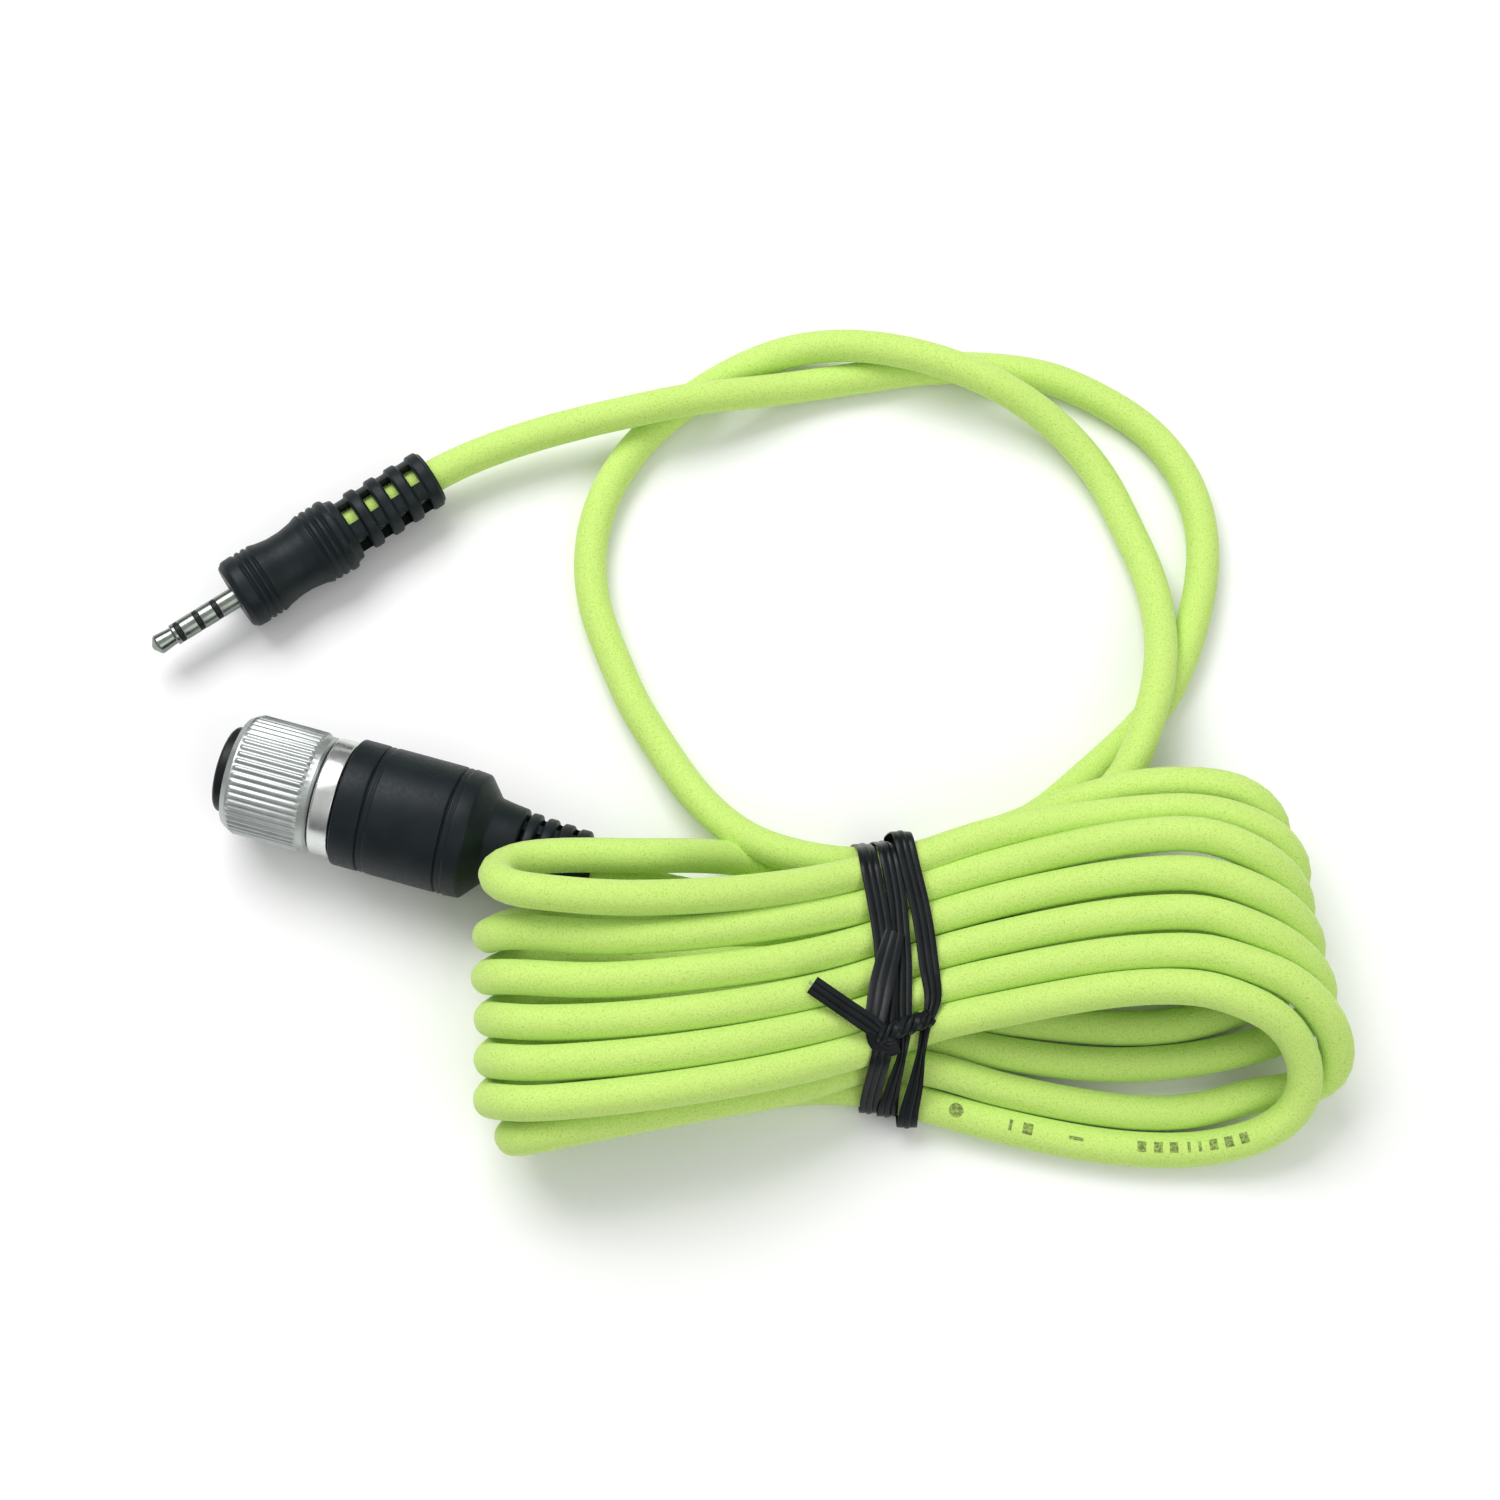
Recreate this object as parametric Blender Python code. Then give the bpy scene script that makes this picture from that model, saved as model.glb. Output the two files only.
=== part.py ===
"""A signal lead: a 3.5 mm four-pole plug and a round screw connector on one soft cord, which is
folded into a hank and held by a twist tie.

Metres, +Z up, resting on z = 0. The origin is below the middle of the two connectors and the tie.
"""
import math

import bmesh
import bpy
from mathutils import Matrix, Vector

MM = 0.001
GAP = 0.3 * MM                     # between pieces that touch

# The cord.
CORD_RADIUS = 2.65 * MM
CORD_BORE = CORD_RADIUS + GAP      # the hole that a moulding has for it
CORD_STEP = 10 * MM                # between the points of a tube
CORD_GREEN = (0.52, 0.83, 0.13)

# The 3.5 mm plug. Its local +X runs from the tip to the cord, and its lengths are from the tip.
PLUG_TIP = Vector((-61.6, 21.1, 6.2)) * MM
PLUG_YAW = math.radians(34.4)
JACK_RADIUS = 1.75 * MM
JACK_ROD = 0.45 * MM               # the tip's rod, through all the sleeves
JACK_BORE = 0.65 * MM
JACK_SEAM = 0.05 * MM
JACK_SEAMS = [4.9 * MM, 8.4 * MM, 11.7 * MM]   # the middles of the three insulators
JACK_INSULATOR = 0.8 * MM
JACK_END = 19.0 * MM               # inside the moulding
PLUG_FRONT = 14.3 * MM
PLUG_END = 52.7 * MM
PLUG_RELIEF = 37.5 * MM            # where the strain relief starts
PLUG_RIBS = [39.4 * MM, 43.2 * MM, 47.0 * MM, 50.8 * MM]

# The screw connector. Its local +X runs from its mating face to the cord.
SCREW_FACE = Vector((-49.0, 0.2, 10.0)) * MM
SCREW_YAW = math.radians(-15.8)
INSERT_RADIUS = 6.75 * MM
CONTACTS = 4
CONTACT_CIRCLE = 3.4 * MM
CONTACT_RADIUS = 1.1 * MM
CONTACT_BORE = 0.5 * MM
RING_FRONT, RING_BACK = 1.9 * MM, 15.2 * MM
RING_RADIUS = 9.5 * MM
RING_THREAD = 8.1 * MM             # the female thread's root
RING_COLLAR = 7.25 * MM            # the ring's narrow back, which turns on the shell
KNURLS = 60
KNURL_DEPTH = 0.35 * MM
THREAD_TURNS = 5
THREAD_DEPTH = 0.45 * MM
SHELL_NECK = 6.9 * MM
BAND_RADIUS = 9.25 * MM
BAND_BACK = 20.0 * MM
SKIRT_BACK = 30.0 * MM
BODY_FRONT = BAND_BACK + GAP
BODY_RADIUS = 10.0 * MM
SCREW_RIBS = [49.9 * MM, 52.2 * MM, 54.5 * MM, 56.8 * MM, 59.1 * MM]
SCREW_END = 60.6 * MM

# The hank: (x, lowest y, highest y, top) of its sections, all standing on the floor but the
# waist, which the tie holds.
HANK = [
    (-8.7, -52.2, -34.2, 17.0), (-6.9, -57.2, -29.7, 21.5), (-2.3, -59.8, -28.4, 24.0),
    (7.7, -59.6, -28.4, 24.4), (14.6, -59.0, -28.6, 24.6), (15.0, -58.8, -13.1, 28.4),
    (25.7, -56.8, -13.4, 25.2), (36.7, -54.4, -14.6, 19.6), (45.7, -53.0, -12.6, 15.4),
    (48.9, -52.6, -10.6, 14.6), (61.9, -52.8, -10.2, 14.6), (65.2, -54.6, -8.8, 15.2),
    (73.7, -57.8, -7.2, 17.4), (84.7, -60.4, -4.2, 20.8), (98.7, -61.4, -3.2, 23.4),
    (108.7, -60.2, -5.0, 24.0), (115.2, -55.8, -9.8, 22.6), (119.7, -50.8, -17.2, 20.0),
    (122.9, -46.2, -30.2, 16.0),
]
WAIST_BOTTOM = 1.3 * MM
WAIST = (48.7, 62.2)               # millimetres along X
SECTION_POINTS = 24
SECTION_POWER = 0.45               # under 1, which squares the oval section

# The routes of the stretches that aren't in the hank, in millimetres.
PLUG_LEAD = [
    (-29.5, 43.2, 6.2), (-24.0, 46.9, 6.2), (-18.2, 50.8, 6.2), (-12.3, 54.0, 6.2),
    (-4.3, 57.1, 6.4), (5.5, 59.8, 7.1), (15.3, 61.7, 8.2), (23.4, 63.5, 8.2),
    (29.9, 65.0, 6.8), (36.5, 66.8, 4.6), (43.9, 68.7, 2.9), (51.4, 70.0, 2.7),
    (63.0, 71.7, 2.7), (74.7, 71.5, 2.7), (82.9, 70.0, 2.7), (91.0, 66.0, 2.7),
    (97.4, 61.5, 2.7), (102.1, 56.1, 2.7), (105.4, 49.0, 2.7), (106.7, 41.1, 2.7),
    (105.8, 32.4, 2.7), (103.4, 23.8, 2.7), (99.3, 15.3, 2.7), (94.3, 8.6, 2.7),
    (88.1, 3.2, 2.7), (82.0, -1.2, 2.7),
]
BIG_LOOP = [
    (91.3, -1.4, 8.2), (94.3, 5.0, 8.3), (96.9, 12.2, 8.2), (98.3, 19.4, 7.2),
    (98.5, 27.2, 5.0), (97.6, 34.4, 3.2), (94.6, 42.8, 2.7), (90.0, 52.8, 3.2),
    (82.9, 60.6, 5.2), (74.7, 65.8, 7.6), (66.1, 69.6, 8.4), (57.8, 72.2, 8.2),
    (49.7, 74.0, 6.6), (41.5, 74.5, 4.3), (33.2, 72.2, 3.0), (23.5, 66.2, 2.7),
    (15.1, 58.4, 2.7), (9.4, 48.8, 2.7), (7.3, 39.3, 2.7), (8.1, 29.8, 2.7),
    (12.1, 19.0, 2.7), (18.5, 6.7, 3.2), (25.4, -2.6, 5.4), (31.7, -8.0, 7.5),
    (37.3, -10.6, 8.2),
]
TOP_LOOP = [
    (14.3, -25.0, 25.5), (10.7, -25.1, 26.4), (5.7, -24.6, 27.0), (1.1, -23.8, 27.2),
    (-1.6, -23.4, 26.6), (-3.5, -22.1, 25.1), (-4.2, -20.4, 23.0), (-3.5, -18.8, 21.0),
    (-1.6, -17.6, 19.5), (1.1, -17.1, 18.9), (5.7, -16.5, 18.5), (10.7, -16.2, 18.2),
    (14.2, -16.0, 17.6),
]
SCREW_LEAD = [
    (-17.3, -8.8, 10.0), (-9.3, -11.0, 10.0), (0.7, -13.9, 10.0), (9.4, -16.4, 9.9),
    (13.7, -17.7, 9.7),
]

# The twist tie.
TIE_X, TIE_WIDTH = 55.7 * MM, 9.6 * MM
TIE_THICKNESS = 0.9 * MM
TIE_INNER = (-53.2 * MM, -9.6 * MM, 1.0 * MM, 14.9 * MM)   # its two Y, then its two Z
TIE_CORNER = 4.5 * MM
KNOT = [(61.1, -41.4, 16.1), (58.3, -42.3, 17.2), (55.3, -43.5, 17.2), (52.7, -43.5, 16.1)]
KNOT_RADIUS = 1.5 * MM
TAIL = [(54.3, -43.5, 16.8), (51.1, -42.1, 17.8), (47.3, -39.7, 18.5), (42.6, -36.4, 19.0)]
TAIL_RADIUS = 1.1 * MM


# Scene and materials

def clear_scene():
    for obj in list(bpy.data.objects):
        bpy.data.objects.remove(obj, do_unlink=True)


def make_material(name, color, roughness, metallic=0.0):
    material = bpy.data.materials.new(name)
    material.use_nodes = True
    shader = material.node_tree.nodes["Principled BSDF"]
    shader.inputs["Base Color"].default_value = (*color, 1.0)
    shader.inputs["Roughness"].default_value = roughness
    shader.inputs["Metallic"].default_value = metallic
    return material


def make_axis(name, location, yaw):
    """An empty whose +X is a connector's axis, for its pieces to hang on."""
    empty = bpy.data.objects.new(name, None)
    bpy.context.collection.objects.link(empty)
    empty.location = location
    empty.rotation_euler = (0, 0, yaw)
    return empty


def add_object(name, data, material, parent=None):
    obj = bpy.data.objects.new(name, data)
    bpy.context.collection.objects.link(obj)
    obj.parent = parent
    if material:
        data.materials.append(material)
    return obj


def mesh_object(name, bm, material, parent=None, sharp=35):
    """The bmesh as an object, closed and facing out, shaded smooth between its sharp edges."""
    bmesh.ops.remove_doubles(bm, verts=bm.verts, dist=1e-6)
    bmesh.ops.recalc_face_normals(bm, faces=bm.faces)
    mesh = bpy.data.meshes.new(name)
    bm.to_mesh(mesh)
    bm.free()
    mesh.shade_smooth()
    mesh.set_sharp_from_angle(angle=math.radians(sharp))
    return add_object(name, mesh, material, parent)


# Shapes

def lathe(name, profile, segments, material, parent):
    """Turns a closed outline of (x, radius) points about the X axis."""
    bm = bmesh.new()
    verts = [bm.verts.new((x, 0, radius)) for x, radius in profile]
    edges = [bm.edges.new((a, b)) for a, b in zip(verts, verts[1:] + verts[:1])
             if a.co.z > 0 or b.co.z > 0]
    bmesh.ops.spin(bm, geom=verts + edges, cent=(0, 0, 0), axis=(1, 0, 0),
                   angle=math.tau, steps=segments, use_merge=True)
    return mesh_object(name, bm, material, parent)


def cutter(name, parts, parent):
    """A hidden mesh that a Boolean subtracts. Each part is a bmesh-filling function."""
    bm = bmesh.new()
    for fill in parts:
        fill(bm)
    obj = mesh_object(name, bm, None, parent)
    obj.hide_render = True
    obj.display_type = "WIRE"
    return obj


def box_filler(low, high):
    """Fills a bmesh with a box between two corners."""
    low, high = Vector(low), Vector(high)
    place = Matrix.Translation((low + high) / 2) @ Matrix.Diagonal((*(high - low), 1))
    return lambda bm: bmesh.ops.create_cube(bm, size=1, matrix=place)


def rod_filler(start, length, radius, segments=16):
    """Fills a bmesh with a rod along X from its start."""
    turn = Matrix.Rotation(math.pi / 2, 4, "Y")
    place = Matrix.Translation(Vector(start) + Vector((length / 2, 0, 0))) @ turn
    return lambda bm: bmesh.ops.create_cone(
        bm, cap_ends=True, segments=segments, radius1=radius, radius2=radius,
        depth=length, matrix=place)


def combine(obj, other, operation):
    modifier = obj.modifiers.new(operation.title(), "BOOLEAN")
    modifier.operation = operation
    modifier.object = other


def smooth_route(points, step):
    """Points about a step apart on the Catmull-Rom curve through the route's points."""
    points = [Vector(p) * MM for p in points]
    ends = [2 * points[0] - points[1], *points, 2 * points[-1] - points[-2]]
    route = []
    for a, b, c, d in zip(ends, ends[1:], ends[2:], ends[3:]):
        steps = max(1, round((c - b).length / step))
        for i in range(steps):
            t = i / steps
            route.append(0.5 * (2 * b + (c - a) * t + (2 * a - 5 * b + 4 * c - d) * t * t
                                + (3 * b - a - 3 * c + d) * t ** 3))
    return route + [points[-1]]


def tube(name, points, radius, material, step=CORD_STEP, sides=3):
    """A capped tube along a route."""
    route = smooth_route(points, step)
    curve = bpy.data.curves.new(name, "CURVE")
    curve.dimensions = "3D"
    curve.bevel_depth = radius
    curve.bevel_resolution = sides
    curve.use_fill_caps = True
    spline = curve.splines.new("POLY")
    spline.points.add(len(route) - 1)
    for point, place in zip(spline.points, route):
        point.co = (*place, 1)
    return add_object(name, curve, material)


def ribs(middles, crest, valley, width):
    """The outline of ring-shaped ribs whose crests' radius falls evenly from first to last."""
    outline = []
    for i, middle in enumerate(middles):
        radius = crest[0] + (crest[1] - crest[0]) * i / (len(middles) - 1)
        outline += [(middle - width / 2, valley), (middle - width / 2 + 0.2 * MM, radius),
                    (middle + width / 2 - 0.2 * MM, radius), (middle + width / 2, valley)]
    return outline


def grooves(starts, radius, width=0.7 * MM, depth=0.4 * MM):
    """The outline of fine V-shaped grooves in a round face."""
    outline = []
    for start in starts:
        outline += [(start, radius), (start + width / 2, radius - depth),
                    (start + width, radius)]
    return outline


# The plug

def make_jack(metal, plastic, parent):
    """The tip with its rod, then insulators and sleeves threaded on the rod."""
    first = JACK_SEAMS[0] - JACK_INSULATOR / 2 - JACK_SEAM
    tip = [(0, 0), (0, 0.35 * MM), (0.9 * MM, 1.35 * MM), (1.5 * MM, JACK_RADIUS),
           (2.1 * MM, JACK_RADIUS), (3.3 * MM, 1.2 * MM), (3.7 * MM, 1.2 * MM),
           (4.2 * MM, JACK_RADIUS), (first, JACK_RADIUS), (first, JACK_ROD),
           (JACK_END, JACK_ROD), (JACK_END, 0)]
    lathe("plug_tip", tip, 24, metal, parent)
    names = ["plug_ring_1", "plug_ring_2", "plug_sleeve"]
    starts = [seam + JACK_INSULATOR / 2 + JACK_SEAM for seam in JACK_SEAMS]
    ends = [seam - JACK_INSULATOR / 2 - JACK_SEAM for seam in JACK_SEAMS[1:]] + [JACK_END]
    for name, start, end in zip(names, starts, ends):
        sleeve = [(start, JACK_BORE), (start, JACK_RADIUS), (end, JACK_RADIUS),
                  (end, JACK_BORE)]
        lathe(name, sleeve, 24, metal, parent)
    for number, seam in enumerate(JACK_SEAMS, 1):
        low, high = seam - JACK_INSULATOR / 2, seam + JACK_INSULATOR / 2
        washer = [(low, JACK_BORE), (low, JACK_RADIUS - 0.04 * MM),
                  (high, JACK_RADIUS - 0.04 * MM), (high, JACK_BORE)]
        lathe(f"plug_insulator_{number}", washer, 24, plastic, parent)


def make_plug_moulding(material, parent):
    """Grip and strain relief in one moulding. The cord ends inside the strain relief."""
    socket, socket_end = JACK_RADIUS + GAP, JACK_END + GAP
    cord_seat = PLUG_RELIEF - 1.0 * MM
    outline = [(PLUG_FRONT, socket), (PLUG_FRONT, 5.3 * MM), (PLUG_FRONT + 0.7 * MM, 6.0 * MM)]
    outline += grooves([17.0 * MM, 18.2 * MM, 19.4 * MM], 6.0 * MM)
    outline += [(21.4 * MM, 5.6 * MM), (23.6 * MM, 5.25 * MM), (26.0 * MM, 5.25 * MM),
                (28.4 * MM, 5.6 * MM)]
    outline += grooves([29.6 * MM, 31.0 * MM, 32.4 * MM], 6.1 * MM)
    outline += [(34.0 * MM, 6.2 * MM), (35.6 * MM, 6.1 * MM), (36.2 * MM, 5.4 * MM),
                (PLUG_RELIEF, 5.1 * MM), (PLUG_RELIEF + 0.3 * MM, 3.9 * MM)]
    outline += ribs(PLUG_RIBS, (4.9 * MM, 4.7 * MM), 3.9 * MM, 1.7 * MM)
    outline += [(PLUG_END, 3.9 * MM), (PLUG_END, CORD_BORE), (cord_seat, CORD_BORE),
                (cord_seat, 1.0 * MM), (socket_end, 1.0 * MM), (socket_end, socket)]
    body = lathe("plug_overmould", outline, 24, material, parent)
    windows = []
    for rib, following in zip(PLUG_RIBS, PLUG_RIBS[1:]):
        low, high = rib + 0.95 * MM, following - 0.95 * MM
        windows.append(box_filler((low, -1.5 * MM, -7 * MM), (high, 1.5 * MM, 7 * MM)))
    combine(body, cutter("plug_windows_cutter", windows, parent), "DIFFERENCE")


# The screw connector

def make_insert(plastic, metal, parent):
    """The moulded contact carrier with its key slot, and the socket contacts in it."""
    outline = [(0, 0), (0, 6.35 * MM), (0.4 * MM, INSERT_RADIUS), (10.5 * MM, INSERT_RADIUS),
               (10.5 * MM, 5.0 * MM), (17.0 * MM, 5.0 * MM), (17.0 * MM, 0)]
    insert = lathe("contact_insert", outline, 32, plastic, parent)
    holes = [box_filler((-1 * MM, -0.9 * MM, 5.6 * MM), (8.0 * MM, 0.9 * MM, 8.0 * MM))]
    for number in range(CONTACTS):
        angle = math.tau * (number + 0.5) / CONTACTS
        y, z = CONTACT_CIRCLE * math.cos(angle), CONTACT_CIRCLE * math.sin(angle)
        holes.append(rod_filler((-1 * MM, y, z), 19 * MM, CONTACT_RADIUS + 0.15 * MM))
        barrel = [(0.8 * MM, CONTACT_BORE), (0.8 * MM, CONTACT_RADIUS),
                  (18.0 * MM, CONTACT_RADIUS), (19.5 * MM, 0.8 * MM), (20.5 * MM, 0.8 * MM),
                  (20.5 * MM, 0), (9.0 * MM, 0), (9.0 * MM, CONTACT_BORE)]
        contact = lathe(f"socket_contact_{number + 1}", barrel, 12, metal, parent)
        contact.location = (0, y, z)
    combine(insert, cutter("insert_holes_cutter", holes, parent), "DIFFERENCE")


def make_shell(metal, parent):
    """The turned shell: a neck that carries the coupling ring, a bright band and a skirt."""
    bore = 5.0 * MM + GAP
    outline = [(10.8 * MM, bore), (10.8 * MM, 6.5 * MM), (11.2 * MM, SHELL_NECK),
               (11.4 * MM, SHELL_NECK), (11.4 * MM, 6.4 * MM), (12.2 * MM, 6.4 * MM),
               (12.2 * MM, SHELL_NECK), (15.6 * MM, SHELL_NECK), (15.6 * MM, 8.9 * MM),
               (15.9 * MM, BAND_RADIUS), (BAND_BACK - 0.2 * MM, BAND_RADIUS),
               (BAND_BACK, BAND_RADIUS - 0.2 * MM), (BAND_BACK, 6.8 * MM),
               (SKIRT_BACK, 6.8 * MM), (SKIRT_BACK, bore)]
    lathe("connector_shell", outline, 32, metal, parent)


def make_snap_ring(metal, parent):
    """The C-shaped ring in the shell's groove, which keeps the coupling ring on."""
    outline = [(11.55 * MM, 6.55 * MM), (11.55 * MM, 7.6 * MM), (12.05 * MM, 7.6 * MM),
               (12.05 * MM, 6.55 * MM)]
    ring = lathe("snap_ring", outline, 32, metal, parent)
    mouth = box_filler((11 * MM, -1.2 * MM, -9 * MM), (12.6 * MM, 1.2 * MM, 0))
    combine(ring, cutter("snap_ring_cutter", [mouth], parent), "DIFFERENCE")


def make_coupling_ring(metal, parent):
    """The knurled ring with its female thread, on its own axis."""
    bm = bmesh.new()
    crest, root, edge = RING_RADIUS, RING_RADIUS - KNURL_DEPTH, RING_RADIUS - 0.6 * MM
    # Each row is (x, radius on a tooth, radius between teeth).
    rows = [(RING_FRONT, edge, edge), (RING_FRONT + 0.5 * MM, root, root),
            (RING_FRONT + 0.8 * MM, crest, root), (RING_BACK - 0.9 * MM, crest, root),
            (RING_BACK - 0.6 * MM, root, root), (RING_BACK, edge, edge)]
    loops = []
    for x, on_tooth, between in rows:
        loop = []
        for k in range(2 * KNURLS):
            angle = math.pi * k / KNURLS
            radius = between if k % 2 else on_tooth
            loop.append(bm.verts.new((x, radius * math.sin(angle), radius * math.cos(angle))))
        loops.append(loop)
    for one, two in zip(loops, loops[1:]):
        for k in range(2 * KNURLS):
            n = (k + 1) % (2 * KNURLS)
            bm.faces.new((one[k], one[n], two[n], two[k]))
    bm.faces.new(loops[0])
    bm.faces.new(loops[-1])
    ring = mesh_object("coupling_ring", bm, metal, parent, sharp=12)
    inside = [(RING_FRONT - 1 * MM, 0), (RING_FRONT - 1 * MM, RING_THREAD)]
    for turn in range(THREAD_TURNS):
        x = RING_FRONT + (1.0 + 1.6 * turn) * MM
        inside += [(x, RING_THREAD), (x + 0.5 * MM, RING_THREAD - THREAD_DEPTH),
                   (x + 1.0 * MM, RING_THREAD)]
    inside += [(12.5 * MM, RING_THREAD), (12.5 * MM, RING_COLLAR),
               (RING_BACK + 1 * MM, RING_COLLAR), (RING_BACK + 1 * MM, 0)]
    bore = lathe("ring_bore_cutter", inside, 32, None, parent)
    bore.hide_render = True
    bore.display_type = "WIRE"
    combine(ring, bore, "DIFFERENCE")


def make_ferrule(metal, parent):
    """The crimped sleeve that grips the cord's jacket inside the moulding."""
    outline = [(30.6 * MM, CORD_BORE), (30.6 * MM, 3.5 * MM), (36.6 * MM, 3.5 * MM),
               (36.6 * MM, CORD_BORE)]
    lathe("crimp_ferrule", outline, 24, metal, parent)


def make_screw_moulding(material, parent):
    """The black overmould: collar, body, rear flange, neck and ribbed strain relief."""
    radius = BODY_RADIUS
    outline = [(BODY_FRONT, 6.8 * MM + GAP), (BODY_FRONT, radius - 0.2 * MM),
               (BODY_FRONT + 0.2 * MM, radius)]
    outline += grooves([24.2 * MM], radius, 0.6 * MM, 0.5 * MM)
    outline += grooves([37.4 * MM], radius, 0.6 * MM, 0.5 * MM)
    outline += [(40.6 * MM, radius - 0.3 * MM), (43.2 * MM, 6.7 * MM), (45.6 * MM, 6.4 * MM),
                (48.4 * MM, 6.2 * MM), (48.5 * MM, 4.7 * MM)]
    outline += ribs(SCREW_RIBS, (5.9 * MM, 5.3 * MM), 4.6 * MM, 1.4 * MM)
    outline += [(SCREW_END, 4.6 * MM), (SCREW_END, CORD_BORE), (37.0 * MM, CORD_BORE),
                (37.0 * MM, 3.9 * MM), (30.3 * MM, 3.9 * MM), (30.3 * MM, 6.8 * MM + GAP)]
    body = lathe("connector_overmould", outline, 32, material, parent)
    slots = []
    for rib, following in zip(SCREW_RIBS, SCREW_RIBS[1:]):
        low, high = rib + 0.7 * MM, following - 0.7 * MM
        for side in (-1, 1):
            near, far = sorted((side * 3.3 * MM, side * 7 * MM))
            slots.append(box_filler((low, -2.6 * MM, near), (high, 2.6 * MM, far)))
    combine(body, cutter("connector_slots_cutter", slots, parent), "DIFFERENCE")


# The cord

def section(x, low_y, high_y, low_z, high_z):
    """The points of one squared oval across the hank."""
    middle_y, half_y = (low_y + high_y) / 2, (high_y - low_y) / 2
    middle_z, half_z = (low_z + high_z) / 2, (high_z - low_z) / 2
    points = []
    for i in range(SECTION_POINTS):
        angle = math.tau * i / SECTION_POINTS
        across = math.copysign(abs(math.cos(angle)) ** SECTION_POWER, math.cos(angle))
        upward = math.copysign(abs(math.sin(angle)) ** SECTION_POWER, math.sin(angle))
        points.append(Vector((x, middle_y + half_y * across, middle_z + half_z * upward)))
    return points


def make_hank(material):
    """The outer shape of the folded cord, pinched where the tie holds it."""
    bm = bmesh.new()
    loops = []
    for x, low_y, high_y, top in HANK:
        bottom = WAIST_BOTTOM if WAIST[0] < x < WAIST[1] else 0
        points = section(x * MM, low_y * MM, high_y * MM, bottom, top * MM)
        loops.append([bm.verts.new(point) for point in points])
    for one, two in zip(loops, loops[1:]):
        for k in range(SECTION_POINTS):
            n = (k + 1) % SECTION_POINTS
            bm.faces.new((one[k], one[n], two[n], two[k]))
    bm.faces.new(loops[0])
    bm.faces.new(loops[-1])
    return mesh_object("cord_hank", bm, material, sharp=60)


# The twist tie

def rounded_loop(low_y, high_y, low_z, high_z, corner, steps=5):
    """(y, z) points round a rectangle with round corners."""
    points = []
    corners = [(high_y - corner, high_z - corner), (low_y + corner, high_z - corner),
               (low_y + corner, low_z + corner), (high_y - corner, low_z + corner)]
    for quarter, (y, z) in enumerate(corners):
        for i in range(steps + 1):
            angle = (quarter + i / steps) * math.pi / 2
            points.append((y + corner * math.cos(angle), z + corner * math.sin(angle)))
    return points


def make_tie(material):
    """The band of wraps round the hank's waist, with its twisted knot and its loose tail."""
    low_y, high_y, low_z, high_z = TIE_INNER
    thick = TIE_THICKNESS
    inner = rounded_loop(low_y, high_y, low_z, high_z, TIE_CORNER)
    outer = rounded_loop(low_y - thick, high_y + thick, low_z - thick, high_z + thick,
                         TIE_CORNER + thick)
    bm = bmesh.new()
    loops = []
    for x, points in ((-1, inner), (-1, outer), (1, outer), (1, inner)):
        loops.append([bm.verts.new((TIE_X + x * TIE_WIDTH / 2, y, z)) for y, z in points])
    for one, two in zip(loops, loops[1:] + loops[:1]):
        for k in range(len(inner)):
            n = (k + 1) % len(inner)
            bm.faces.new((one[k], one[n], two[n], two[k]))
    band = mesh_object("twist_tie", bm, material)
    for name, route, radius in (("knot_shape", KNOT, KNOT_RADIUS),
                                ("tail_shape", TAIL, TAIL_RADIUS)):
        rod = tube(name + "_curve", route, radius, None, step=2 * MM)
        graph = bpy.context.evaluated_depsgraph_get()
        bm = bmesh.new()
        bm.from_mesh(bpy.data.meshes.new_from_object(rod.evaluated_get(graph)))
        bpy.data.objects.remove(rod, do_unlink=True)
        shape = mesh_object(name, bm, None)
        shape.hide_render = True
        shape.display_type = "WIRE"
        combine(band, shape, "UNION")


def main():
    clear_scene()
    cord_skin = make_material("cord_green", CORD_GREEN, 0.7)
    black = make_material("moulded_black", (0.02, 0.024, 0.03), 0.45)
    insert_black = make_material("insert_black", (0.012, 0.012, 0.014), 0.35)
    insulator = make_material("insulator_black", (0.015, 0.015, 0.015), 0.4)
    nickel = make_material("nickel", (0.72, 0.71, 0.69), 0.25, 1.0)
    gold = make_material("gold", (0.83, 0.62, 0.25), 0.3, 1.0)
    tie_black = make_material("tie_black", (0.01, 0.01, 0.011), 0.2)

    plug = make_axis("plug_axis", PLUG_TIP, PLUG_YAW)
    make_jack(nickel, insulator, plug)
    make_plug_moulding(black, plug)

    screw = make_axis("connector_axis", SCREW_FACE, SCREW_YAW)
    make_insert(insert_black, gold, screw)
    make_shell(nickel, screw)
    make_snap_ring(nickel, screw)
    make_coupling_ring(nickel, screw)
    make_ferrule(nickel, screw)
    make_screw_moulding(black, screw)

    make_hank(cord_skin)
    tube("cord_plug_lead", PLUG_LEAD, CORD_RADIUS, cord_skin)
    tube("cord_big_loop", BIG_LOOP, CORD_RADIUS, cord_skin)
    tube("cord_top_loop", TOP_LOOP, CORD_RADIUS, cord_skin, step=5 * MM)
    tube("cord_connector_lead", SCREW_LEAD, CORD_RADIUS, cord_skin)
    make_tie(tie_black)


main()
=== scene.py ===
"""The looks of the signal lead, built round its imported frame. Lengths in the tables are in
millimetres of the frame, and blocks of it that become meshes are turned into metres there."""
import math

import bmesh
import bpy
import numpy as np
from mathutils import Matrix, Vector


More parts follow.
